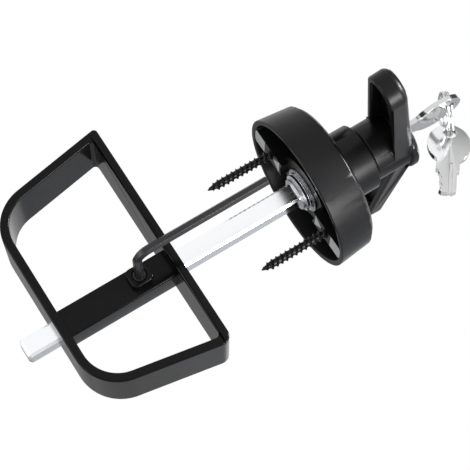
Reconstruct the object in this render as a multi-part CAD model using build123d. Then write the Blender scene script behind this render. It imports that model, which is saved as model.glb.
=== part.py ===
"""T-handle garage door lock, with its inside pull handle, hex key and two keys.

Frame: the origin is the centre of the escutcheon's back, the face that lies on the door.
+Y runs along the square spindle into the garage, -Y points outside, +Z is up, and the
T-grip lies along X. All sizes are millimetres.
"""
from build123d import *
from math import asin, atan2, cos, hypot, radians, sin, sqrt, tan
import os

# Escutcheon: a drafted round shell with a collar in front and a hub behind
rim_r = 31.75
face_r = 30.0
plate_depth = 16.0
face_edge = 1.8
shell_wall = 2.2
face_wall = 2.6
collar_r = 13.6
collar_length = 14.0
collar_edge = 0.7
hub_r = 14.0
hub_back_y = -3.5
web_thickness = 2.5
rib_width = 9.0
land_depth = 0.4

# Mounting screws, number 8 by 1 3/4 inch, 1 1/2 inch apart
screw_spacing = 38.1
screw_r = 2.1
screw_shank_r = 1.8
screw_head_r = 4.1
screw_head_height = 2.5
screw_length = 43.7
screw_point_length = 4.5
screw_clearance = 0.15

# Fits
running_clearance = 0.08
seat_gap = 0.3
fit_clearance = 0.05
pin_inset = 0.1

# Handle neck
neck_r = 11.5
journal_r = 10.42
tail_r = 6.42
tail_reach = 0.6

# T-grip
grip_half_length = 57.0
grip_half_width = 12.5
grip_tip_r = 8.0
grip_height = 8.0
grip_rim_y = -39.5
grip_sweep = 7.5
grip_wall = 2.5
grip_face_wall = 2.6
grip_edge = 1.6
boss_r = 13.3
boss_rise = 0.6

# Lock cylinder
cylinder_r = 7.95
cylinder_length = 24.0
bezel_r = 10.5
bezel_height = 0.9
plug_r = 6.5
retaining_pin_r = 1.0
retaining_pin_y = -28.0

# Plug and its wafers
wafer_count = 5
wafer_pitch = 2.0
wafer_first = 2.5
wafer_thickness = 0.9
wafer_half_width = 2.7
wafer_inset = 0.1
lug_width = 1.3
lug_length = 1.2
spring_r = 0.42
spring_length = 2.6
window_clearance = 0.3
plug_tail_r = 4.8
plug_tail_length = 2.0
crank_radius = 1.4
crank_pin_r = 0.9

# Locking bolt, moved by the crank pin on the plug's tail
bolt_width = 7.0
bolt_thickness = 3.6
bolt_foot = 3.4
bolt_inset = 0.22
pocket_r = 12.7
pocket_clearance = 0.2
slot_clearance = 0.1

# Square spindle, 5/16 inch
spindle_side = 8.0
spindle_chamfer = 0.9
spindle_end_y = 118.5
spindle_end_chamfer = 1.0
socket_depth = 15.5
socket_relief = 0.5
spindle_pin_r = 1.5
spindle_pin_y = -12.5

# Washers and ring behind the web
wave_washer_r = 9.2
wave_washer_thickness = 0.6
thrust_washer_r = 8.0
thrust_washer_thickness = 0.9
circlip_r = 7.6
circlip_thickness = 0.8
circlip_groove = 0.55
circlip_gap = 30.0
washer_gap = 0.15

# Inside pull handle: a bent strap, a cross plate and a square hub tube
strap_width = 23.5
strap_thickness = 3.5
plate_y = 52.8
handle_depth = 52.3
handle_top_z = 59.5
handle_bottom_z = -40.0
arm_slope = 10.2
far_corner_r = 18.0
top_corner_r = 1.6
bottom_corner_r = 4.0
hub_side = 11.5
hub_edge_round = 0.8

# Set screw in its boss, and the hex key that turns it
set_screw_y = 68.6
set_screw_z = 0.8
boss_length_y = 9.0
boss_length_z = 8.0
boss_corner_r = 2.2
boss_top_x = -9.0
set_screw_r = 2.45
set_screw_sink = 0.4
hex_flats = 3.175
hex_socket_depth = 3.5
hex_clearance = 0.05
hex_bend_r = 5.0
hex_arm_x = -28.5
hex_arm_end_y = 13.4

# Keys and their ring
key_thickness = 2.0
bow_width = 17.0
bow_length = 22.0
key_neck_width = 9.0
key_neck_length = 4.5
blade_width = 7.2
blade_length = 12.5
blade_point = 1.6
cut_depths = (0.7, 1.5, 1.0, 1.8, 1.2)
cut_flat = 0.8
key_groove_width = 1.3
key_groove_depth = 0.45
key_hole_r = 2.8
key_hole_edge = 4.8
key_side_clearance = 0.1
key_edge_clearance = 0.2
ring_r = 8.5
wire_r = 0.75
wire_width = 1.45
ring_cut = 0.5
ring_tilt = 25.0
spare_hang = 0.6
spare_direction = (-0.402, 0.590, -0.693)

# Places that follow from the sizes above
face_y = -plate_depth
collar_end_y = face_y - collar_length
collar_bore_r = journal_r + running_clearance
web_front_y = hub_back_y - web_thickness
journal_end_y = web_front_y - seat_gap
tail_end_y = tail_reach
socket_front_y = tail_end_y - socket_depth - socket_relief
grip_face_y = grip_rim_y - grip_height
boss_face_y = grip_face_y - boss_rise
bezel_face_y = boss_face_y - bezel_height
cylinder_end_y = boss_face_y + cylinder_length
cavity_end_y = cylinder_end_y + seat_gap / 2
plug_tail_end_y = cavity_end_y + plug_tail_length
bolt_front_y = plug_tail_end_y + slot_clearance
bolt_back_y = bolt_front_y + bolt_thickness
plate_back_y = plate_y + strap_thickness
short_side_y = plate_y + handle_depth
shoulder_y = bezel_face_y - fit_clearance
hole_y = shoulder_y - key_neck_length - bow_length + key_hole_edge


def turned(*corners):
    """Solid turned about the shaft axis from (radius, y) corners."""
    return revolve(make_face(Polyline(*corners, close=True)), Axis.Y)


def rod(radius, y_front, y_back):
    """Cylinder on the shaft axis."""
    return turned((0, y_front), (radius, y_front), (radius, y_back), (0, y_back))


def block(x_range, y_range, z_range):
    """Box between three pairs of limits."""
    ranges = (x_range, y_range, z_range)
    middle = [(low + high) / 2 for low, high in ranges]
    size = [abs(high - low) for low, high in ranges]
    return Pos(*middle) * Box(*size)


def square_bar(side, chamfer_size, y_front, y_back):
    """Square bar on the shaft axis with its four long edges taken off."""
    bar = block((-side / 2, side / 2), (y_front, y_back), (-side / 2, side / 2))
    return chamfer(bar.edges().filter_by(Axis.Y), chamfer_size)


def cross_rod(radius, start, end):
    """Cylinder between two points."""
    start, end = Vector(*start), Vector(*end)
    along = Plane(origin=start, z_dir=end - start)
    return extrude(along * Circle(radius), (end - start).length)


def quarter_copies(solid):
    """A solid and its three copies at quarter turns about the shaft axis."""
    return [Rot(0, angle, 0) * solid for angle in (0, 90, 180, 270)]


def make_escutcheon():
    """Round cast shell: drafted wall, front plate, collar, hub and two screw ribs."""
    wall_drop = face_wall + face_y
    inner_face_r = face_r - shell_wall
    outline = make_face(Polyline(
        (0, 0), (rim_r, 0), (face_r, face_y), (0, face_y), close=True))
    front_corner = outline.vertices().sort_by_distance((face_r, face_y, 0))[0]
    outline = chamfer(front_corner, face_edge)
    envelope = revolve(outline, Axis.Y)
    cavity = turned((0, 1), (rim_r - shell_wall + 0.1, 1), (rim_r - shell_wall, 0),
                    (inner_face_r, wall_drop), (0, wall_drop))
    collar = rod(collar_r, collar_end_y, wall_drop)
    collar = chamfer(collar.edges().group_by(Axis.Y)[0], collar_edge)
    hub = rod(hub_r, wall_drop, hub_back_y)
    rib = block((-rib_width / 2, rib_width / 2), (wall_drop, -land_depth), (-rim_r, rim_r))
    rib -= rod(hub_r - shell_wall, wall_drop, 0)
    body = envelope - cavity + collar + hub + (rib & envelope)
    body -= rod(collar_bore_r, collar_end_y - 1, web_front_y)
    body -= rod(tail_r + running_clearance, web_front_y - 1, 1)
    pocket = block((-bolt_width / 2 - pocket_clearance, bolt_width / 2 + pocket_clearance),
                   (bolt_front_y - pocket_clearance, bolt_back_y + pocket_clearance), (0, rim_r))
    pocket &= rod(pocket_r, collar_end_y, 0)
    body -= quarter_copies(pocket)
    for side in (-1, 1):
        body -= Pos(0, 0, side * screw_spacing / 2) * screw_space()
    return body


def screw_space():
    """Clearance hole and countersink for one mounting screw."""
    hole_r = screw_r + screw_clearance
    return turned(
        (0, face_y - 1), (screw_head_r + screw_clearance, face_y - 1),
        (screw_head_r + screw_clearance, face_y), (hole_r, face_y + screw_head_height),
        (hole_r, 1), (0, 1))


def make_mounting_screws():
    """Two countersunk wood screws, heads flush with the front plate."""
    head_y = face_y + fit_clearance
    tip_y = head_y + screw_length
    thread_y = -land_depth / 2
    screw = turned(
        (0, head_y), (screw_head_r, head_y), (screw_shank_r, head_y + screw_head_height),
        (screw_shank_r, thread_y), (screw_r, thread_y),
        (screw_r, tip_y - screw_point_length), (0, tip_y))
    return Compound([Pos(0, 0, side * screw_spacing / 2) * screw for side in (-1, 1)])


def grip_outline(inset):
    """Plan of half a grip: straight flanks drawn tangent to the round tip."""
    tip_r = grip_tip_r - inset
    half = grip_half_width - inset
    centre = grip_half_length - grip_tip_r
    reach = hypot(centre, half)
    angle = asin(tip_r / reach) - atan2(half, centre)
    run = sqrt(reach ** 2 - tip_r ** 2)
    touch = (run * cos(angle), half + run * sin(angle))
    start = -grip_half_width
    start_z = half - start * tan(angle)
    upper = Line((start, start_z), touch)
    tip = ThreePointArc(touch, (centre + tip_r, 0), (touch[0], -touch[1]))
    lower = Line((touch[0], -touch[1]), (start, -start_z))
    base = Line((start, -start_z), (start, start_z))
    return make_face([upper, tip, lower, base])


def grip_half():
    """Right half of the hollow grip, swept back towards the door."""
    turn = radians(grip_sweep)
    along = (cos(turn), sin(turn), 0)
    outward = (sin(turn), -cos(turn), 0)
    plane = Plane(origin=(0, grip_rim_y, 0), x_dir=along, z_dir=outward)
    outer = extrude(plane * grip_outline(0), grip_height)
    front = outer.faces().sort_by(Axis(origin=(0, 0, 0), direction=outward))[-1]
    outer = chamfer(front.edges(), grip_edge)
    hollow = extrude(plane * grip_outline(grip_wall), grip_height - grip_face_wall)
    keep = block((0, 2 * grip_half_length), (-2 * grip_half_length, 2 * grip_half_length),
                 (-grip_half_length, grip_half_length))
    return (outer - hollow) & keep


def make_t_handle():
    """Cast T-grip, neck and journal in one piece, bored for the lock and the spindle."""
    half = grip_half()
    boss = rod(boss_r, boss_face_y, grip_face_y + grip_face_wall)
    neck = rod(neck_r, grip_face_y + grip_face_wall / 2, collar_end_y - seat_gap)
    journal = rod(journal_r, collar_end_y - seat_gap, journal_end_y)
    tail = rod(tail_r, journal_end_y, tail_end_y)
    body = half + mirror(half, Plane.YZ) + boss + neck + journal + tail
    body -= rod(cylinder_r + fit_clearance, boss_face_y - 1, cavity_end_y)
    body -= rod(plug_tail_r + slot_clearance, cavity_end_y - 1, bolt_front_y)
    body -= block((-bolt_width / 2 - slot_clearance, bolt_width / 2 + slot_clearance),
                  (bolt_front_y - slot_clearance, bolt_back_y + slot_clearance),
                  (-bolt_foot - slot_clearance, journal_r + 1))
    body -= square_bar(spindle_side + 2 * fit_clearance, spindle_chamfer,
                       socket_front_y, tail_end_y + 1)
    body -= cross_rod(spindle_pin_r + fit_clearance / 2,
                      (-journal_r - 1, spindle_pin_y, 0), (journal_r + 1, spindle_pin_y, 0))
    body -= cross_rod(retaining_pin_r + fit_clearance / 2,
                      (0, retaining_pin_y, 0), (journal_r + 1, retaining_pin_y, 0))
    return body - circlip_groove_ring()


def circlip_places():
    """Front and back of the circlip, behind the two washers."""
    wave_front = hub_back_y + washer_gap
    thrust_front = wave_front + wave_washer_thickness + washer_gap
    circlip_front = thrust_front + thrust_washer_thickness + washer_gap
    return wave_front, thrust_front, circlip_front


def circlip_groove_ring():
    """Groove cut round the tail for the circlip."""
    front = circlip_places()[2] - fit_clearance
    back = front + circlip_thickness + 2 * fit_clearance
    return rod(tail_r + 1, front, back) - rod(tail_r - circlip_groove, front, back)


def washer(radius, thickness, front_y):
    """Flat washer round the tail."""
    bore = tail_r + running_clearance
    return turned((bore, front_y), (radius, front_y),
                  (radius, front_y + thickness), (bore, front_y + thickness))


def make_neck_circlip():
    """Open retaining ring in the tail's groove."""
    front = circlip_places()[2]
    back = front + circlip_thickness
    inner = tail_r - circlip_groove + fit_clearance
    ring = turned((inner, front), (circlip_r, front), (circlip_r, back), (inner, back))
    half_gap = circlip_r * tan(radians(circlip_gap / 2))
    return ring - block((-half_gap, half_gap), (front - 1, back + 1), (-2 * circlip_r, 0))


def make_cylinder_shell():
    """Sleeve that holds the plug, with the bezel that shows round the keyhole."""
    bore = plug_r + fit_clearance
    shell = turned(
        (bore, bezel_face_y), (bezel_r, bezel_face_y), (bezel_r, boss_face_y),
        (cylinder_r, boss_face_y), (cylinder_r, cylinder_end_y), (bore, cylinder_end_y))
    pin_hole = cross_rod(retaining_pin_r + fit_clearance / 2,
                         (bore - 1, retaining_pin_y, 0), (cylinder_r + 1, retaining_pin_y, 0))
    return shell - pin_hole


def make_retaining_pin():
    """Pin that locks the sleeve in the neck, clear of the plug that turns inside."""
    inner = plug_r + 2 * fit_clearance + pin_inset
    return cross_rod(retaining_pin_r, (inner, retaining_pin_y, 0),
                     (journal_r - pin_inset, retaining_pin_y, 0))


def wafer_y(index):
    """Middle of one wafer slot, counted from the plug's face."""
    return bezel_face_y + wafer_first + index * wafer_pitch


def make_lock_plug():
    """Turning plug with keyway, wafer slots, tail and crank pin."""
    body = rod(plug_r, bezel_face_y, cylinder_end_y)
    body += rod(plug_tail_r, cylinder_end_y, plug_tail_end_y)
    body -= block((-blade_width / 2 - key_edge_clearance, blade_width / 2 + key_edge_clearance),
                  (bezel_face_y - 1, shoulder_y + blade_length + seat_gap),
                  (-key_thickness / 2 - key_side_clearance, key_thickness / 2 + key_side_clearance))
    half_slot = wafer_thickness / 2 + fit_clearance
    for index in range(wafer_count):
        middle = wafer_y(index)
        slot_y = (middle - half_slot, middle + half_slot)
        side = wafer_half_width + fit_clearance
        body -= block((-plug_r, plug_r), slot_y, (-side, side))
        body -= block((-lug_length / 2 - fit_clearance, spring_end_x() + fit_clearance),
                      slot_y, (0, side + lug_width))
    return body + crank_pin()


def crank_pin():
    """Pin off the axis of the plug's tail, 45 degrees below level at rest."""
    reach = crank_radius * cos(radians(45))
    return cross_rod(crank_pin_r, (reach, plug_tail_end_y - 0.5, -reach),
                     (reach, bolt_back_y - slot_clearance, -reach))


def spring_end_x():
    """Far end of a wafer spring, past the lug that it pushes."""
    return lug_length / 2 + fit_clearance + spring_length


def make_wafer(index):
    """One wafer: a plate round the blade with a lug for its spring."""
    middle = wafer_y(index)
    limits = (middle - wafer_thickness / 2, middle + wafer_thickness / 2)
    reach = sqrt((plug_r - wafer_inset) ** 2 - wafer_half_width ** 2)
    plate = block((-reach, reach), limits, (-wafer_half_width, wafer_half_width))
    plate += block((-lug_length / 2, lug_length / 2), limits,
                   (wafer_half_width - 1, wafer_half_width + lug_width - fit_clearance))
    window_x = blade_width / 2 + window_clearance
    window_z = key_thickness / 2 + 2 * key_side_clearance
    return plate - block((-window_x, window_x), (limits[0] - 1, limits[1] + 1),
                         (-window_z, window_z))


def make_wafer_spring(index):
    """Envelope of the fine coil that pushes one wafer."""
    place_z = wafer_half_width + fit_clearance + lug_width / 2
    start = lug_length / 2 + fit_clearance
    return block((start, start + spring_length - fit_clearance),
                 (wafer_y(index) - spring_r, wafer_y(index) + spring_r),
                 (place_z - spring_r, place_z + spring_r))


def make_lock_bolt():
    """Bolt that slides up out of the journal, with the crank's cross slot."""
    reach = crank_radius * cos(radians(45))
    bolt = block((-bolt_width / 2, bolt_width / 2), (bolt_front_y, bolt_back_y),
                 (-bolt_foot, journal_r))
    bolt &= rod(journal_r - bolt_inset, bolt_front_y, bolt_back_y)
    half_slot = crank_pin_r + slot_clearance
    slot = block((reach - half_slot, crank_radius + half_slot),
                 (bolt_front_y - 1, bolt_back_y + 1), (-reach - half_slot, -reach + half_slot))
    return bolt - slot


def make_spindle():
    """Square drive bar with a chamfered far end."""
    bar = square_bar(spindle_side, spindle_chamfer, socket_front_y + fit_clearance, spindle_end_y)
    bar = chamfer(bar.edges().group_by(Axis.Y)[-1], spindle_end_chamfer)
    return bar - cross_rod(spindle_pin_r + fit_clearance / 2,
                           (-spindle_side, spindle_pin_y, 0), (spindle_side, spindle_pin_y, 0))


def make_spindle_pin():
    """Cross pin that holds the spindle in the journal."""
    reach = journal_r - pin_inset
    return cross_rod(spindle_pin_r, (-reach, spindle_pin_y, 0), (reach, spindle_pin_y, 0))


def handle_loop():
    """Closed trapezoid of flat bar: cross plate, two sloping arms and the short side."""
    fall = handle_depth * tan(radians(arm_slope))
    corners = [(plate_y, handle_top_z), (plate_y, handle_bottom_z),
               (short_side_y, handle_bottom_z + fall), (short_side_y, handle_top_z - fall)]
    radii = [top_corner_r, bottom_corner_r, far_corner_r, far_corner_r]
    outer = make_face(Plane.YZ * FilletPolyline(*corners, radius=radii, close=True))
    slant = tan(radians((90 - arm_slope) / 2))
    step = strap_thickness / slant
    gain = (handle_depth - 2 * strap_thickness) * tan(radians(arm_slope))
    first_z = handle_top_z - step
    last_z = handle_bottom_z + step
    inner_corners = [(plate_back_y, first_z), (plate_back_y, last_z),
                     (short_side_y - strap_thickness, last_z + gain),
                     (short_side_y - strap_thickness, first_z - gain)]
    inner_far_r = far_corner_r - strap_thickness
    inner_radii = [top_corner_r, top_corner_r, inner_far_r, inner_far_r]
    inner = make_face(Plane.YZ * FilletPolyline(*inner_corners, radius=inner_radii, close=True))
    return extrude(outer - inner, strap_width / 2, both=True)


def handle_window():
    """Square way through the plate and short side for the spindle."""
    return square_bar(spindle_side + 2 * fit_clearance, spindle_chamfer,
                      plate_y - 1, short_side_y + 1)


def plate_region():
    """Everything in front of the plane where the cross plate meets the arms."""
    return block((-strap_width, strap_width), (plate_y - 1, plate_back_y),
                 (2 * handle_bottom_z, 2 * handle_top_z))


def make_handle_strap():
    """Bent strap: two arms and the short side."""
    return handle_loop() - plate_region() - handle_window()


def make_cross_plate():
    """Long flat plate of the pull handle."""
    return (handle_loop() & plate_region()) - handle_window()


def make_handle_hub():
    """Square tube that rides on the spindle between the plate and the short side."""
    half = hub_side / 2
    tube = block((-half, half), (plate_back_y, short_side_y - strap_thickness), (-half, half))
    tube = fillet(tube.edges().filter_by(Axis.Y), hub_edge_round)
    return tube - handle_window() - set_screw_hole()


def set_screw_hole():
    """Hole for the set screw through boss and hub wall."""
    return cross_rod(set_screw_r + fit_clearance, (boss_top_x - 1, set_screw_y, set_screw_z),
                     (0, set_screw_y, set_screw_z))


def make_set_screw_boss():
    """Rounded pad on the hub that gives the set screw its thread length."""
    height = -boss_top_x - hub_side / 2
    pad = Plane(origin=(-hub_side / 2, set_screw_y, set_screw_z), x_dir=(0, 1, 0),
                z_dir=(-1, 0, 0)) * RectangleRounded(boss_length_y, boss_length_z, boss_corner_r)
    return extrude(pad, height) - set_screw_hole()


def hexagon(across_flats, centre, normal, along):
    """Hexagon with flats facing up and down, on a plane through a point."""
    plane = Plane(origin=centre, x_dir=along, z_dir=normal)
    return plane * RegularPolygon(across_flats / 2, 6, major_radius=False, rotation=30)


def make_set_screw():
    """Socket set screw that bears on the spindle's side."""
    outer_x = boss_top_x + set_screw_sink
    body = cross_rod(set_screw_r, (outer_x, set_screw_y, set_screw_z),
                     (-spindle_side / 2 - fit_clearance, set_screw_y, set_screw_z))
    socket = extrude(hexagon(hex_flats + 2 * hex_clearance, (outer_x, set_screw_y, set_screw_z),
                             (1, 0, 0), (0, 1, 0)), hex_socket_depth)
    return body - socket


def make_hex_key():
    """Bent hex key, left standing in the set screw as delivered."""
    start_x = boss_top_x + set_screw_sink + hex_socket_depth - 4 * hex_clearance
    start = (start_x, set_screw_y, set_screw_z)
    path = FilletPolyline(start, (hex_arm_x, set_screw_y, set_screw_z),
                          (hex_arm_x, hex_arm_end_y, set_screw_z), radius=hex_bend_r)
    return sweep(hexagon(hex_flats, start, (-1, 0, 0), (0, 1, 0)), path)


def key_solid():
    """Flat key in the XY plane: shoulder on y = 0, blade towards +Y, hole at the far end."""
    bow_middle = -key_neck_length - bow_length / 2
    plan = Pos(0, bow_middle) * Ellipse(bow_width / 2, bow_length / 2)
    plan += Pos(0, -(key_neck_length + bow_length / 4) / 2) * Rectangle(
        key_neck_width, key_neck_length + bow_length / 4)
    half = blade_width / 2
    tip = blade_length - blade_point
    plan += make_face(Polyline((-half, -1), (half, -1), (half, tip), (half - blade_point, blade_length),
                               (-half + blade_point, blade_length), (-half, tip), close=True))
    for index, depth in enumerate(cut_depths):
        middle = bezel_face_y - shoulder_y + wafer_first + index * wafer_pitch
        plan -= make_face(Polyline(
            (-half - 1, middle - cut_flat / 2 - depth - 1), (-half + depth, middle - cut_flat / 2),
            (-half + depth, middle + cut_flat / 2), (-half - 1, middle + cut_flat / 2 + depth + 1),
            close=True))
    plan -= Pos(0, -key_neck_length - bow_length + key_hole_edge) * Circle(key_hole_r)
    solid = extrude(plan, key_thickness / 2, both=True)
    groove = block((half / 3 - key_groove_width / 2, half / 3 + key_groove_width / 2),
                   (-key_neck_length, blade_length + 1),
                   (key_thickness / 2 - key_groove_depth, key_thickness))
    return solid - groove - mirror(groove, Plane.XY)


def make_key_in_lock():
    """Key pushed home in the plug, its flat side level."""
    return Pos(0, shoulder_y, 0) * key_solid()


def ring_direction():
    """Direction from the hole in the key down round the ring."""
    return Vector(0, sin(radians(ring_tilt)), -cos(radians(ring_tilt)))


def ring_centre():
    """The ring passes through the key's hole at its near side."""
    return Vector(ring_r, hole_y, 0)


def make_key_ring():
    """Split ring of flat wire: two turns side by side, each with its cut end."""
    axis = Vector(1, 0, 0).cross(ring_direction())
    plane = Plane(origin=ring_centre(), x_dir=(1, 0, 0), z_dir=axis)
    outer_r = ring_r + wire_r
    ring = extrude(Circle(outer_r) - Circle(ring_r - wire_r), wire_width, both=True)
    for side in (-1, 1):
        ring -= Pos(side * ring_r, 0, side * wire_width / 2) * Box(
            2 * wire_r + 1, ring_cut, wire_width)
    return plane.location * ring


def make_spare_key():
    """Second key, hanging from the ring's lowest point."""
    along = Vector(*spare_direction).normalized()
    across = along.cross(Vector(1, 0, 0)).normalized()
    hole = ring_centre() + ring_direction() * ring_r + along * spare_hang
    to_shoulder = key_neck_length + bow_length - key_hole_edge
    plane = Plane(origin=hole + along * to_shoulder, x_dir=across, z_dir=across.cross(along))
    return plane.location * key_solid()


wave_front_y, thrust_front_y, circlip_front_y = circlip_places()
nodes = {
    "escutcheon": make_escutcheon(),
    "mounting_screws": make_mounting_screws(),
    "t_handle": make_t_handle(),
    "wave_washer": washer(wave_washer_r, wave_washer_thickness, wave_front_y),
    "thrust_washer": washer(thrust_washer_r, thrust_washer_thickness, thrust_front_y),
    "neck_circlip": make_neck_circlip(),
    "lock_cylinder_shell": make_cylinder_shell(),
    "cylinder_retaining_pin": make_retaining_pin(),
    "lock_plug": make_lock_plug(),
    "lock_bolt": make_lock_bolt(),
    "spindle": make_spindle(),
    "spindle_pin": make_spindle_pin(),
    "handle_strap": make_handle_strap(),
    "handle_cross_plate": make_cross_plate(),
    "handle_hub": make_handle_hub(),
    "set_screw_boss": make_set_screw_boss(),
    "set_screw": make_set_screw(),
    "hex_key": make_hex_key(),
    "key_in_lock": make_key_in_lock(),
    "key_ring": make_key_ring(),
    "spare_key": make_spare_key(),
}
for number in range(wafer_count):
    nodes[f"wafer_{number + 1}"] = make_wafer(number)
    nodes[f"wafer_spring_{number + 1}"] = make_wafer_spring(number)

os.makedirs("parts", exist_ok=True)
for name, shape in nodes.items():
    export_step(shape, f"parts/{name}.step")
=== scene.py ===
# %% [markdown]
# # T-handle garage door lock
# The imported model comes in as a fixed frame: every solid at its real size and place, in
# metres. This file gives it its looks: worked surfaces where the solids are plain, and a
# procedural finish for each metal.

# %% Load the frame
import math

import bmesh
import bpy
import numpy as np
from mathutils import Matrix, Vector


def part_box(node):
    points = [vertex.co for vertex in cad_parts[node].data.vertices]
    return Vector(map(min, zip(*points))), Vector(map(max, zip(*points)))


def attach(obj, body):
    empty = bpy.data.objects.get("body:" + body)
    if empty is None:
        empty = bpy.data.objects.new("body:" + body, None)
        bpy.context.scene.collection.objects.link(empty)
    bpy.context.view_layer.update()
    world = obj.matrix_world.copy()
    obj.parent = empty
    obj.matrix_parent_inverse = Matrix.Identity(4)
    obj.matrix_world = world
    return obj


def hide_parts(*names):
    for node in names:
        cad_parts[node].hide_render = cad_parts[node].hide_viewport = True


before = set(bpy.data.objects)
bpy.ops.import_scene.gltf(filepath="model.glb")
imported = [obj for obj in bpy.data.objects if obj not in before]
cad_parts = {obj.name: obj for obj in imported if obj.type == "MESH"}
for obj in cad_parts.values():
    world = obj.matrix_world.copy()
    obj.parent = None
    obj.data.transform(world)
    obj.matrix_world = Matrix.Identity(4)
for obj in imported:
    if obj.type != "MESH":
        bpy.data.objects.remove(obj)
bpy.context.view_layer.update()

MM = 0.001
scene = bpy.context.scene

# %% [markdown]
# ## Turning arrays into meshes
# A surface here is a grid of points: rows run round the piece, columns run along it. Numpy
# works out the whole grid at once, and one helper turns any grid into quads, closed round
# the way that it closes on the real piece.


# %% Grid helper
def grid_faces(rows, columns, close_rows, close_columns):
    """Quads of a grid: each corner (i, j) joins (i+1, j), (i+1, j+1) and (i, j+1)."""
    row = np.arange(rows if close_rows else rows - 1)
    column = np.arange(columns if close_columns else columns - 1)
    i, j = np.meshgrid(row, column, indexing="ij")
    i_next, j_next = (i + 1) % rows, (j + 1) % columns
    quads = np.stack([i * columns + j, i_next * columns + j,
                      i_next * columns + j_next, i * columns + j_next], axis=-1)
    return quads.reshape(-1, 4)


def mesh_from_arrays(name, points, faces):
    """Makes an object from an array of points and a list of faces, and shades it smooth."""
    mesh = bpy.data.meshes.new(name)
    mesh.from_pydata(points.tolist(), [], [list(map(int, face)) for face in faces])
    mesh.validate()
    mesh.shade_smooth()
    piece = bpy.data.objects.new(name, mesh)
    scene.collection.objects.link(piece)
    return piece


def outward(piece):
    """Recalculates a closed piece's faces so that they point out."""
    work = bmesh.new()
    work.from_mesh(piece.data)
    bmesh.ops.remove_doubles(work, verts=work.verts, dist=0.0001 * MM)
    bmesh.ops.recalc_face_normals(work, faces=work.faces)
    work.to_mesh(piece.data)
    work.free()
    piece.data.shade_smooth()
    return piece


# %% [markdown]
# ## Softened castings and bars
# A real casting has no knife edges: each one catches a thin line of light. The solid's mesh
# stays as it is, so a copy is merged, its flat faces are joined, and a Bevel modifier rounds
# the edges by a set width. The copy then stands for the solid. Where only some edges are
# rounded, a function of their middles picks them, and the long walls beside them keep their
# own shading.


# %% Softened copies of the solids
MERGE_DISTANCE = 0.002 * MM
FLAT_ANGLE = math.radians(0.4)


def weigh_edges(mesh, chosen):
    """Gives bevel weight 1 to the sharp edges whose middle the function picks, else 0."""
    ends = np.empty(len(mesh.edges) * 2, np.int32)
    mesh.edges.foreach_get("vertices", ends)
    points = np.empty(len(mesh.vertices) * 3)
    mesh.vertices.foreach_get("co", points)
    middle = points.reshape(-1, 3)[ends.reshape(-1, 2)].mean(axis=1)
    sharp = np.zeros(len(mesh.edges), bool)
    mesh.attributes["sharp_edge"].data.foreach_get("value", sharp)
    weight = mesh.attributes.new("bevel_weight_edge", "FLOAT", "EDGE")
    weight.data.foreach_set("value", (sharp & chosen(*middle.T)).astype(np.float32))


def softened(node, body, width_mm, segments=3, angle=32, chosen=None):
    """A merged copy of a solid with its sharp edges rounded by width_mm. With chosen, a
    function of the edges' middles, only the edges that it picks are rounded."""
    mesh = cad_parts[node].data.copy()
    piece = bpy.data.objects.new(node + "_finished", mesh)
    scene.collection.objects.link(piece)
    work = bmesh.new()
    work.from_mesh(mesh)
    bmesh.ops.remove_doubles(work, verts=work.verts, dist=MERGE_DISTANCE)
    bmesh.ops.dissolve_limit(work, angle_limit=FLAT_ANGLE, use_dissolve_boundaries=False,
                             verts=work.verts, edges=work.edges, delimit={"NORMAL"})
    work.to_mesh(mesh)
    work.free()
    mesh.shade_smooth()
    mesh.set_sharp_from_angle(angle=math.radians(angle))
    bevel = piece.modifiers.new("rounded edges", "BEVEL")
    bevel.width = width_mm * MM
    bevel.segments = segments
    bevel.limit_method = "ANGLE"
    bevel.angle_limit = math.radians(angle)
    bevel.harden_normals = not chosen
    if chosen:
        weigh_edges(mesh, chosen)
        bevel.limit_method = "WEIGHT"
        bevel.use_clamp_overlap = False
        bevel.face_strength_mode = "FSTR_AFFECTED"
        even = piece.modifiers.new("even shading", "WEIGHTED_NORMAL")
        even.use_face_influence = True
        even.keep_sharp = True
    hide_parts(node)
    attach(piece, body)
    return piece


# %% [markdown]
# ## Two shared effects
# Several finishes need the same two things: a fine grain, for powder coat and oxide, and
# fine lines along a bar, for drawn and plated metal. Each is a node group that puts out a
# mask and a normal, so every finish can use it at its own scale.


# %% Fine grain group
BROAD_SCALE = 60.0
FINE_SHARE = 0.45


def new_group(name, inputs, outputs):
    """A shader node group with named sockets; each input has a default value."""
    group = bpy.data.node_groups.new(name, "ShaderNodeTree")
    for label, kind, value in inputs:
        socket = group.interface.new_socket(label, in_out="INPUT", socket_type=kind)
        socket.default_value = value
    for label, kind in outputs:
        group.interface.new_socket(label, in_out="OUTPUT", socket_type=kind)
    group_in = group.nodes.new("NodeGroupInput")
    group_out = group.nodes.new("NodeGroupOutput")
    return group, group_in, group_out


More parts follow.
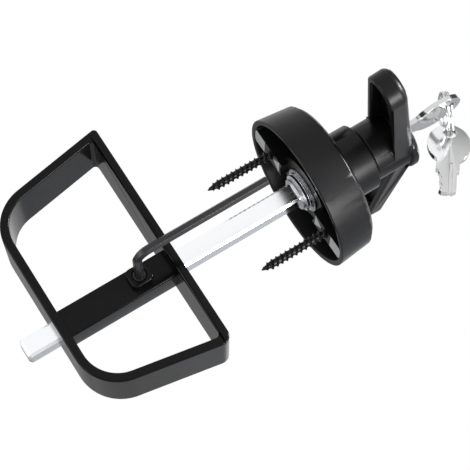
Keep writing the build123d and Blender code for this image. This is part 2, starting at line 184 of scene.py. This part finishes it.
def build_grain_group():
    """A fine and a broad noise in Object space: a mask mixed of both, and a normal bumped by
    the fine one."""
    group, group_in, group_out = new_group(
        "Fine grain",
        [("Scale", "NodeSocketFloat", 900.0), ("Depth", "NodeSocketFloat", 0.1),
         ("Height mm", "NodeSocketFloat", 0.02)],
        [("Mask", "NodeSocketFloat"), ("Normal", "NodeSocketVector")])
    nodes, links = group.nodes, group.links
    place = nodes.new("ShaderNodeTexCoord")
    fine = nodes.new("ShaderNodeTexNoise")
    fine.inputs["Detail"].default_value = 3.0
    broad = nodes.new("ShaderNodeTexNoise")
    broad.inputs["Scale"].default_value = BROAD_SCALE
    broad.inputs["Detail"].default_value = 2.0
    bump = nodes.new("ShaderNodeBump")
    to_metres = nodes.new("ShaderNodeMath")
    to_metres.operation = "MULTIPLY"
    to_metres.inputs[1].default_value = MM
    blend = nodes.new("ShaderNodeMath")
    blend.operation = "MULTIPLY_ADD"
    blend.inputs[1].default_value = FINE_SHARE
    broad_part = nodes.new("ShaderNodeMath")
    broad_part.operation = "MULTIPLY"
    broad_part.inputs[1].default_value = 1.0 - FINE_SHARE
    links.new(place.outputs["Object"], fine.inputs["Vector"])
    links.new(place.outputs["Object"], broad.inputs["Vector"])
    links.new(group_in.outputs["Scale"], fine.inputs["Scale"])
    links.new(fine.outputs["Fac"], bump.inputs["Height"])
    links.new(group_in.outputs["Depth"], bump.inputs["Strength"])
    links.new(group_in.outputs["Height mm"], to_metres.inputs[0])
    links.new(to_metres.outputs[0], bump.inputs["Distance"])
    links.new(broad.outputs["Fac"], broad_part.inputs[0])
    links.new(fine.outputs["Fac"], blend.inputs[0])
    links.new(broad_part.outputs[0], blend.inputs[2])
    links.new(blend.outputs[0], group_out.inputs["Mask"])
    links.new(bump.outputs["Normal"], group_out.inputs["Normal"])
    return group


grain_group = build_grain_group()


# %% Drawn lines group
def build_lines_group():
    """Noise stretched along one axis: a mask and a normal of fine parallel lines."""
    group, group_in, group_out = new_group(
        "Drawn lines",
        [("Along", "NodeSocketVector", (1.0, 0.02, 1.0)), ("Scale", "NodeSocketFloat", 1500.0),
         ("Depth", "NodeSocketFloat", 0.15)],
        [("Mask", "NodeSocketFloat"), ("Normal", "NodeSocketVector")])
    nodes, links = group.nodes, group.links
    place = nodes.new("ShaderNodeTexCoord")
    stretch = nodes.new("ShaderNodeVectorMath")
    stretch.operation = "MULTIPLY"
    lines = nodes.new("ShaderNodeTexNoise")
    lines.inputs["Detail"].default_value = 4.0
    bump = nodes.new("ShaderNodeBump")
    bump.inputs["Distance"].default_value = 0.01 * MM
    links.new(place.outputs["Object"], stretch.inputs[0])
    links.new(group_in.outputs["Along"], stretch.inputs[1])
    links.new(stretch.outputs[0], lines.inputs["Vector"])
    links.new(group_in.outputs["Scale"], lines.inputs["Scale"])
    links.new(lines.outputs["Fac"], bump.inputs["Height"])
    links.new(group_in.outputs["Depth"], bump.inputs["Strength"])
    links.new(lines.outputs["Fac"], group_out.inputs["Mask"])
    links.new(bump.outputs["Normal"], group_out.inputs["Normal"])
    return group


lines_group = build_lines_group()


# %% [markdown]
# ## The finishes
# Black powder coat is a thin glossy plastic skin over metal: nearly black, with a broad
# satin sheen and a faint orange-peel grain. Zinc and nickel plate are bright metals with
# drawing lines. Oxide and phosphate blacks are thin dark layers, duller than the coats.


# %% Finish helper
MASK_LOW, MASK_HIGH = 0.25, 0.75


def finish(name, group, colours, rough, metallic, specular=0.5, settings=()):
    """A Principled material whose colour and roughness follow one shared effect's mask."""
    material = bpy.data.materials.new(name)
    material.use_nodes = True
    nodes, links = material.node_tree.nodes, material.node_tree.links
    shader = nodes["Principled BSDF"]
    effect = nodes.new("ShaderNodeGroup")
    effect.node_tree = group
    for label, value in settings:
        effect.inputs[label].default_value = value
    tint = nodes.new("ShaderNodeMix")
    tint.data_type = "RGBA"
    tint.inputs["A"].default_value = (*colours[0], 1.0)
    tint.inputs["B"].default_value = (*colours[1], 1.0)
    gloss = nodes.new("ShaderNodeMapRange")
    gloss.inputs["From Min"].default_value = MASK_LOW
    gloss.inputs["From Max"].default_value = MASK_HIGH
    gloss.inputs["To Min"].default_value = rough[0]
    gloss.inputs["To Max"].default_value = rough[1]
    links.new(effect.outputs["Mask"], tint.inputs["Factor"])
    links.new(effect.outputs["Mask"], gloss.inputs["Value"])
    links.new(tint.outputs["Result"], shader.inputs["Base Color"])
    links.new(gloss.outputs["Result"], shader.inputs["Roughness"])
    links.new(effect.outputs["Normal"], shader.inputs["Normal"])
    shader.inputs["Metallic"].default_value = metallic
    shader.inputs["Specular IOR Level"].default_value = specular
    return material


# %% Black coats and oxides
cast_coat = finish("satin black powder coat", grain_group,
                   ((0.0024, 0.0024, 0.0027), (0.0036, 0.0036, 0.0040)), (0.28, 0.36), 0.0,
                   specular=0.2, settings=(("Scale", 1400.0), ("Depth", 0.12)))
strap_coat = finish("gloss black powder coat", grain_group,
                    ((0.0016, 0.0016, 0.0018), (0.0026, 0.0026, 0.0028)), (0.12, 0.2), 0.0,
                    specular=0.13, settings=(("Scale", 700.0), ("Depth", 0.16)))
screw_black = finish("black phosphate", grain_group,
                     ((0.0015, 0.0015, 0.0015), (0.004, 0.004, 0.004)), (0.26, 0.42), 0.0,
                     specular=0.22, settings=(("Scale", 2500.0), ("Depth", 0.2)))
key_steel_black = finish("black oxide steel", lines_group,
                         ((0.006, 0.006, 0.007), (0.012, 0.012, 0.013)), (0.24, 0.36), 0.0,
                         specular=0.38, settings=(("Along", (1.0, 0.03, 1.0)), ("Scale", 2200.0)))

# %% Bright metals
zinc_plate = finish("bright zinc plate", lines_group,
                    ((0.91, 0.925, 0.95), (0.965, 0.97, 0.98)), (0.12, 0.2), 1.0,
                    settings=(("Along", (1.0, 0.015, 1.0)), ("Scale", 1800.0), ("Depth", 0.12)))
nickel_plate = finish("polished nickel", lines_group,
                      ((0.6, 0.605, 0.61), (0.72, 0.72, 0.72)), (0.08, 0.16), 1.0,
                      settings=(("Along", (1.0, 0.05, 1.0)), ("Scale", 2400.0), ("Depth", 0.1)))
spring_metal = finish("spring steel", lines_group,
                      ((0.42, 0.43, 0.45), (0.55, 0.56, 0.58)), (0.2, 0.34), 1.0,
                      settings=(("Along", (0.05, 1.0, 1.0)), ("Scale", 2600.0), ("Depth", 0.12)))
machined_brass = finish("machined brass", lines_group,
                        ((0.60, 0.43, 0.18), (0.72, 0.53, 0.25)), (0.22, 0.36), 1.0,
                        settings=(("Along", (1.0, 1.0, 0.04)), ("Scale", 2600.0),
                                  ("Depth", 0.12)))
bare_casting = finish("bare ground casting", lines_group,
                      ((0.42, 0.43, 0.44), (0.66, 0.67, 0.68)), (0.3, 0.5), 1.0,
                      settings=(("Along", (1.0, 1.0, 0.08)), ("Scale", 1500.0), ("Depth", 0.3)))


# %% Ground lands
LAND_END = 22.8 * MM
LAND_START = 12.6 * MM
LAND_TIP = 16.9 * MM


def math_node(tree, operation, first, second=None):
    """A Math node whose inputs are sockets or numbers; gives back its output socket."""
    node = tree.nodes.new("ShaderNodeMath")
    node.operation = operation
    for socket, value in zip(node.inputs, (first, second)):
        if isinstance(value, (int, float)):
            socket.default_value = value
        elif value is not None:
            tree.links.new(value, socket)
    return node.outputs[0]


def build_land_finish():
    """Coat with bare patches: the mask is 1 past LAND_END from the axis, and in a wedge
    that starts at LAND_START and narrows to nothing at LAND_TIP."""
    material = cast_coat.copy()
    material.name = "coat with ground lands"
    tree = material.node_tree
    place = tree.nodes.new("ShaderNodeTexCoord")
    parts = tree.nodes.new("ShaderNodeSeparateXYZ")
    tree.links.new(place.outputs["Object"], parts.inputs[0])
    across = math_node(tree, "ABSOLUTE", parts.outputs["X"])
    along = math_node(tree, "ABSOLUTE", parts.outputs["Z"])
    outer = math_node(tree, "GREATER_THAN", along, LAND_END)
    before_tip = math_node(tree, "LESS_THAN", math_node(tree, "ADD", along, across), LAND_TIP)
    after_start = math_node(tree, "GREATER_THAN", along, LAND_START)
    wedge = math_node(tree, "MULTIPLY", before_tip, after_start)
    mask = math_node(tree, "MAXIMUM", outer, wedge)
    bare = tree.nodes.new("ShaderNodeBsdfPrincipled")
    bare.inputs["Base Color"].default_value = (0.62, 0.63, 0.64, 1.0)
    bare.inputs["Metallic"].default_value = 1.0
    bare.inputs["Roughness"].default_value = 0.34
    blend = tree.nodes.new("ShaderNodeMixShader")
    output = tree.nodes["Material Output"]
    tree.links.new(mask, blend.inputs["Fac"])
    tree.links.new(tree.nodes["Principled BSDF"].outputs[0], blend.inputs[1])
    tree.links.new(bare.outputs[0], blend.inputs[2])
    tree.links.new(blend.outputs[0], output.inputs["Surface"])
    return material


land_finish = build_land_finish()


def dress(piece, material):
    """Gives a piece one finish."""
    piece.data.materials.clear()
    piece.data.materials.append(material)
    return piece


def second_finish(piece, material, low_y, high_y, reach):
    """Gives a second finish to the faces between two planes and within a radius of the axis."""
    piece.data.materials.append(material)
    centres = np.empty(len(piece.data.polygons) * 3)
    piece.data.polygons.foreach_get("center", centres)
    x, y, z = centres.reshape(-1, 3).T
    inside = (y > low_y) & (y < high_y) & (np.hypot(x, z) < reach)
    piece.data.polygons.foreach_set("material_index", inside.astype(np.int32))


# %% [markdown]
# ## Castings and the pull handle
# The escutcheon and the T-grip are zinc castings with powder coat, and the pull handle is
# bent and welded flat bar with a glossier coat. All of them are softened copies, each with
# its own edge radius. Edges in the bores and at the welded seams stay sharp.

# %% Castings
RIM_R = 31.75 * MM
WALL_INSIDE_R = 27.0 * MM
FRONT_EDGES_Y = -15.0 * MM
BORES_R = 11.0 * MM
GRIP_EDGES_Y = -24.0 * MM
LAND_LOW_Y, LAND_HIGH_Y = -0.6 * MM, -0.2 * MM
TAIL_LOW_Y, TAIL_HIGH_Y, TAIL_REACH = -2.2 * MM, 1.0 * MM, 7.0 * MM


def outer_shell(x, y, z):
    """The escutcheon's outside edges: past its wall's inside, or on its front and collar."""
    from_axis = np.hypot(x, z)
    return (from_axis > WALL_INSIDE_R) | (y < FRONT_EDGES_Y) & (from_axis > BORES_R)


def grip_edges(x, y, z):
    """The grip's edges, away from the lock's bore."""
    return (np.hypot(x, z) > BORES_R) & (y < GRIP_EDGES_Y)


escutcheon = dress(softened("escutcheon", "escutcheon_body", 0.55, 4, chosen=outer_shell),
                   cast_coat)
second_finish(escutcheon, land_finish, LAND_LOW_Y, LAND_HIGH_Y, RIM_R)
t_handle = dress(softened("t_handle", "handle_body", 0.85, 4, angle=25, chosen=grip_edges),
                 cast_coat)
second_finish(t_handle, bare_casting, TAIL_LOW_Y, TAIL_HIGH_Y, TAIL_REACH)

# %% Pull handle
FLAT_SIDE_X = 11.5 * MM
SEAM_Y = 56.3 * MM
SEAM_MARGIN = 0.1 * MM
PLATE_MIDDLE_Z = 40.0 * MM
BOSS_TOP_X = -8.9 * MM


def strap_edges(x, y, z):
    """The strap's long edges, on its two flat sides, but not where it meets the plate."""
    return (np.abs(x) > FLAT_SIDE_X) & (y > SEAM_Y + SEAM_MARGIN)


def plate_edges(x, y, z):
    """The cross plate's long edges, but not the short ones where it meets the strap."""
    off_seam = (y < SEAM_Y - SEAM_MARGIN) | (np.abs(z) < PLATE_MIDDLE_Z)
    return (np.abs(x) > FLAT_SIDE_X) & off_seam


def boss_edges(x, y, z):
    """The edges of the boss's top, round it and round the screw."""
    return x < BOSS_TOP_X


for node, edge, chosen in (("handle_strap", 0.65, strap_edges),
                           ("handle_cross_plate", 0.65, plate_edges),
                           ("handle_hub", 0.3, None), ("set_screw_boss", 0.55, boss_edges)):
    dress(softened(node, "inside_handle_body", edge, 4, chosen=chosen), strap_coat)

# %% [markdown]
# ## Spindle, hex key and small turned parts
# Square bar is drawn through a die, so its edges are slightly round and its faces carry fine
# lines along its length.

# %% Bars and turned parts
dress(softened("spindle", "handle_body", 0.25), zinc_plate)
dress(softened("thrust_washer", "handle_body", 0.1), zinc_plate)
dress(softened("hex_key", "hex_key_body", 0.12), key_steel_black)
dress(softened("set_screw", "set_screw_body", 0.12), key_steel_black)
dress(softened("lock_cylinder_shell", "handle_body", 0.12), nickel_plate)
dress(softened("lock_plug", "plug_body", 0.08), nickel_plate)
for node, body in (("key_in_lock", "key_body"), ("spare_key", "spare_body")):
    dress(softened(node, body, 0.22), nickel_plate)

# %% Inner parts keep their solids
inner_finish = {"lock_bolt": spring_metal, "cylinder_retaining_pin": spring_metal,
                "spindle_pin": spring_metal, "wave_washer": spring_metal,
                "neck_circlip": zinc_plate}
for number in range(1, 6):
    inner_finish[f"wafer_{number}"] = machined_brass
    inner_finish[f"wafer_spring_{number}"] = spring_metal
for node, material in inner_finish.items():
    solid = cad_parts[node]
    solid.data.materials.clear()
    solid.data.materials.append(material)

# %% [markdown]
# ## Wood screws
# A wood screw is a tapering core with one thin, tall ridge wound round it. In the grid, rows
# go round the screw and columns go along it; the ridge's height depends on how far a point
# is from the thread's middle, counted in pitches, and fades out at the point and at the head.

# %% Screw surface
screw_low, screw_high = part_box("mounting_screws")
SCREW_PITCH = 2.1 * MM
SCREW_MAJOR = 2.1 * MM
SCREW_CORE = 1.42 * MM
SCREW_HEAD = 4.1 * MM
HEAD_HEIGHT = 2.5 * MM
RECESS_DEPTH = 1.7 * MM
RECESS_REACH = 2.3 * MM
RECESS_SLOT = 0.6 * MM
RECESS_WALL = 0.3 * MM
RECESS_END = 1.1 * MM
SCREW_STEPS_ROUND = 64
SCREW_STEPS_PER_PITCH = 14
HEAD_STEPS = 26
SMALLEST_R = 0.02 * MM
RIDGE_HALF_WIDTH = 0.26
POINT_LENGTH = 4.6 * MM
THREAD_START = 5.0 * MM
THREAD_RISE = 3.0 * MM
NECK_LENGTH = 9.0 * MM
NECK_EXTRA = 0.3 * MM


def recess_grid(head_y, centre_z, turn):
    """The head's flat top with its cross recess: the depth falls from full to nothing over a
    sloping wall, by the distance to the nearer arm of the cross and to the cross's end."""
    radius = np.linspace(SMALLEST_R, SCREW_HEAD, HEAD_STEPS)[None, :]
    x, z = radius * np.cos(turn), radius * np.sin(turn)
    near, far = np.minimum(abs(x), abs(z)), np.maximum(abs(x), abs(z))
    wall = np.clip((RECESS_SLOT - near) / RECESS_WALL, 0.0, 1.0)
    end = np.clip((RECESS_REACH - far) / RECESS_END, 0.0, 1.0)
    return np.stack([x, head_y + RECESS_DEPTH * wall * end, centre_z + z], axis=-1)


def screw_points(head_y, tip_y, centre_z):
    """Radius along the screw: a head cone, then core plus ridge. The ridge is the thread
    height times (1 - distance / half width) to the power 1.25, where distance is the
    fraction of a pitch between the place and the nearest turn of the helix. The core is
    thicker near the head, and core and thread both narrow over the point."""
    length = tip_y - head_y
    columns = int(length / SCREW_PITCH * SCREW_STEPS_PER_PITCH)
    along = np.linspace(0.0, length, columns)[None, :]
    turn = np.linspace(0.0, 2 * np.pi, SCREW_STEPS_ROUND, endpoint=False)[:, None]
    phase = np.mod(along / SCREW_PITCH - turn / (2 * np.pi), 1.0)
    distance = np.minimum(phase, 1.0 - phase)
    ridge = np.clip(1.0 - distance / RIDGE_HALF_WIDTH, 0.0, 1.0) ** 1.25
    point = np.clip((length - along) / POINT_LENGTH, 0.0, 1.0)
    start = np.clip((along - THREAD_START) / THREAD_RISE, 0.0, 1.0)
    core = SCREW_CORE + NECK_EXTRA * np.clip((NECK_LENGTH - along) / NECK_LENGTH, 0.0, 1.0)
    core = core * point ** 0.6
    crest = SCREW_MAJOR * np.clip(point * 1.18, 0.0, 1.0) ** 0.8
    radius = core + (crest - core).clip(0.0) * ridge * start
    head = SCREW_HEAD + (core - SCREW_HEAD) * np.clip(along / HEAD_HEIGHT, 0.0, 1.0)
    radius = np.where(along < HEAD_HEIGHT, np.maximum(head, core), radius)
    radius = np.maximum(radius, SMALLEST_R)
    body = np.stack([radius * np.cos(turn), head_y + along + 0 * turn,
                     centre_z + radius * np.sin(turn)], axis=-1)
    return np.concatenate([recess_grid(head_y, centre_z, turn), body[:, 1:]], axis=1)


def wood_screws():
    """Both screws as one piece, each closed by a face at the head and at the tip."""
    points, faces, first = [], [], 0
    middle_z = 0.5 * (screw_low[2] + screw_high[2])
    reach = 0.5 * (screw_high[2] - screw_low[2]) - SCREW_HEAD
    for centre_z in (middle_z + reach, middle_z - reach):
        grid = screw_points(screw_low[1], screw_high[1], centre_z)
        rows, columns = grid.shape[:2]
        quads = grid_faces(rows, columns, True, False) + first
        points.append(grid.reshape(-1, 3))
        faces.extend(quads.tolist())
        faces.append((np.arange(rows) * columns + first).tolist())
        faces.append((np.arange(rows)[::-1] * columns + columns - 1 + first).tolist())
        first += rows * columns
    return outward(mesh_from_arrays("wood_screws", np.concatenate(points), faces))


screws = wood_screws()
screws.data.set_sharp_from_angle(angle=math.radians(50))
dress(screws, screw_black)
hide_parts("mounting_screws")
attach(screws, "escutcheon_body")
print("screws", len(screws.data.polygons), "faces")

# %% [markdown]
# ## Split ring
# A split ring is one flattened wire wound twice. Its line is a circle that drifts
# sideways by one wire as it goes round, and the wire's section is carried along that line.

# %% Ring surface
ring_low, ring_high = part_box("key_ring")
RING_R = 8.5 * MM
WIRE_R = 0.75 * MM
WIRE_PITCH = 1.44 * MM
RING_TILT = math.radians(25.0)
RING_TURNS = 2.0
RING_START = math.radians(215.0)
STEP_FROM = 0.86
STEP_LENGTH = 0.28
RING_STEPS = 240
SECTION_STEPS = 16
SQUARENESS = 0.8
SECTION_SCALE = 0.95


def split_ring():
    """The line: an angle from 0 to two turns, at radius RING_R, with a sideways drift that
    steps from one side to the other between 0.86 and 1.14 turns. The section: a circle
    slightly squared by a power."""
    middle = np.array([(low + high) / 2 for low, high in zip(ring_low, ring_high)])
    down = np.array([0.0, math.sin(RING_TILT), -math.cos(RING_TILT)])
    sideways = np.cross([1.0, 0.0, 0.0], down)
    angle = np.linspace(0.0, 2 * np.pi * RING_TURNS, RING_STEPS)
    step = np.clip((angle / (2 * np.pi) - STEP_FROM) / STEP_LENGTH, 0.0, 1.0)
    drift = (step * step * (3 - 2 * step) - 0.5) * WIRE_PITCH
    out = (np.cos(angle + RING_START)[:, None] * np.array([1.0, 0.0, 0.0])
           + np.sin(angle + RING_START)[:, None] * down)
    section = np.linspace(0.0, 2 * np.pi, SECTION_STEPS, endpoint=False)
    cosine, sine = np.cos(section), np.sin(section)
    wide = np.sign(cosine) * np.abs(cosine) ** SQUARENESS * WIRE_R * SECTION_SCALE
    high = np.sign(sine) * np.abs(sine) ** SQUARENESS * WIRE_R * SECTION_SCALE
    centre = middle + out * RING_R + drift[:, None] * sideways
    grid = (centre[:, None, :] + wide[None, :, None] * out[:, None, :]
            + high[None, :, None] * sideways[None, None, :])
    rows, columns = grid.shape[:2]
    faces = grid_faces(rows, columns, False, True).tolist()
    faces.append(list(range(columns))[::-1])
    faces.append([(rows - 1) * columns + k for k in range(columns)])
    return outward(mesh_from_arrays("split_ring", grid.reshape(-1, 3), faces))


ring = split_ring()
ring.data.set_sharp_from_angle(angle=math.radians(50))
dress(ring, nickel_plate)
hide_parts("key_ring")
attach(ring, "ring_body")

# %% [markdown]
# ## Camera, light and background
# The photograph looks along the T-grip from below, so the spindle runs down to the left. The
# world is white where the camera or a reflection sees it, and softer where it only lights.
# Four lamps give the coats their soft highlights, and three cards that only reflections see
# keep the sides of the glossy pieces dark.

# %% Camera
SENSOR_MM = 36.0
FOCAL_PIXELS = 1655.16
FRAME_PIXELS = 470.0

camera_data = bpy.data.cameras.new("photo camera")
camera_data.sensor_width = SENSOR_MM
camera_data.lens = FOCAL_PIXELS / FRAME_PIXELS * SENSOR_MM
camera_data.clip_start = 0.01
camera = bpy.data.objects.new("photo camera", camera_data)
scene.collection.objects.link(camera)
right = Vector((-0.00662, -0.84606, -0.53304))
down = Vector((0.35977, 0.49534, -0.79070))
forward = Vector((0.93302, -0.19701, 0.30111))
offset = Vector((23.212, -15.572, 629.773)) * MM
place = -(right * offset.x + down * offset.y + forward * offset.z)
camera.matrix_world = Matrix((
    (right.x, -down.x, -forward.x, place.x),
    (right.y, -down.y, -forward.y, place.y),
    (right.z, -down.z, -forward.z, place.z),
    (0.0, 0.0, 0.0, 1.0)))
scene.camera = camera
print("camera at", [round(value, 4) for value in place])


# %% Lamps
LIT_POINT = Vector((0.0, 0.02, 0.0))


def softbox(name, towards, distance, size, power):
    """A square area lamp that faces the lock from a direction."""
    lamp_data = bpy.data.lights.new(name, "AREA")
    lamp_data.shape = "SQUARE"
    lamp_data.size = size
    lamp_data.energy = power
    lamp = bpy.data.objects.new(name, lamp_data)
    scene.collection.objects.link(lamp)
    towards = towards.normalized()
    lamp.location = LIT_POINT + towards * distance
    lamp.rotation_euler = (-towards).to_track_quat("-Z", "Y").to_euler()


toward_camera = -forward
below = right * 0.5 + down * 0.86
# A cylinder along y mirrors a lamp to the camera only where the lamp's y is the camera's
# reversed, so the key light has just that y, and is turned 45 degrees down round the axis.
under = Matrix.Rotation(math.radians(-45.0), 3, "Y") @ toward_camera
under.y = -toward_camera.y
softbox("key light", under, 0.24, 0.12, 0.9)
softbox("screw light", toward_camera * 0.8 + below * 0.62, 0.8, 0.3, 10.0)
softbox("fill light", toward_camera * 0.7 - right * 0.9 + down * 0.1, 1.0, 0.6, 3.0)
softbox("edge light", toward_camera * 0.25 + right * 1.0 - down * 0.5, 0.8, 0.22, 14.0)


# %% Cards for reflections
def reflected_card(name, towards, distance, size, glow):
    """A grey card that only reflections see, so that glossy pieces get their dark sides."""
    towards = towards.normalized()
    turn = towards.to_track_quat("Z", "Y").to_matrix()
    corners = [LIT_POINT + towards * distance + turn @ Vector((u * size / 2, v * size / 2, 0.0))
               for u, v in ((-1, -1), (1, -1), (1, 1), (-1, 1))]
    card = mesh_from_arrays(name, np.array(corners), [(0, 1, 2, 3)])
    grey = bpy.data.materials.new(name)
    grey.use_nodes = True
    shader = grey.node_tree.nodes["Principled BSDF"]
    shader.inputs["Base Color"].default_value = (0.0, 0.0, 0.0, 1.0)
    shader.inputs["Specular IOR Level"].default_value = 0.0
    shader.inputs["Emission Color"].default_value = (glow, glow, glow, 1.0)
    shader.inputs["Emission Strength"].default_value = 1.0
    card.data.materials.append(grey)
    card.visible_camera = False
    card.visible_diffuse = False
    card.visible_shadow = False


reflected_card("card behind the pull handle", Vector((0.93, 0.24, 0.34)), 0.8, 0.6, 0.36)
reflected_card("card above the keys", forward * 0.5 + right * 0.6 - down * 0.9, 0.7, 0.55, 0.08)
reflected_card("card below", forward * 0.7 - right * 0.2 + down * 0.9, 0.7, 0.6, 0.45)

# %% World
world = bpy.data.worlds.new("white studio")
scene.world = world
world.use_nodes = True
tree = world.node_tree
tree.nodes.clear()
path = tree.nodes.new("ShaderNodeLightPath")
camera_or_glossy = math_node(tree, "MAXIMUM", path.outputs["Is Camera Ray"],
                             path.outputs["Is Glossy Ray"])
seen = math_node(tree, "MAXIMUM", camera_or_glossy, path.outputs["Is Transmission Ray"])
soft = tree.nodes.new("ShaderNodeBackground")
soft.inputs["Color"].default_value = (0.9, 0.93, 1.0, 1.0)
soft.inputs["Strength"].default_value = 0.5
white = tree.nodes.new("ShaderNodeBackground")
white.inputs["Color"].default_value = (1.0, 1.0, 1.0, 1.0)
white.inputs["Strength"].default_value = 1.0
mix = tree.nodes.new("ShaderNodeMixShader")
out = tree.nodes.new("ShaderNodeOutputWorld")
tree.links.new(seen, mix.inputs["Fac"])
tree.links.new(soft.outputs[0], mix.inputs[1])
tree.links.new(white.outputs[0], mix.inputs[2])
tree.links.new(mix.outputs[0], out.inputs["Surface"])
scene.view_settings.view_transform = "Standard"

# %% Floor
FLOOR_Z = -0.26
FLOOR_HALF = 1.2
floor_points = np.array([[-FLOOR_HALF, -FLOOR_HALF, FLOOR_Z], [FLOOR_HALF, -FLOOR_HALF, FLOOR_Z],
                         [FLOOR_HALF, FLOOR_HALF, FLOOR_Z], [-FLOOR_HALF, FLOOR_HALF, FLOOR_Z]])
floor = mesh_from_arrays("pale floor", floor_points, [(0, 1, 2, 3)])
floor_material = bpy.data.materials.new("pale floor")
floor_material.use_nodes = True
floor_shader = floor_material.node_tree.nodes["Principled BSDF"]
floor_shader.inputs["Base Color"].default_value = (0.9, 0.9, 0.9, 1.0)
floor_shader.inputs["Roughness"].default_value = 0.8
floor.data.materials.append(floor_material)
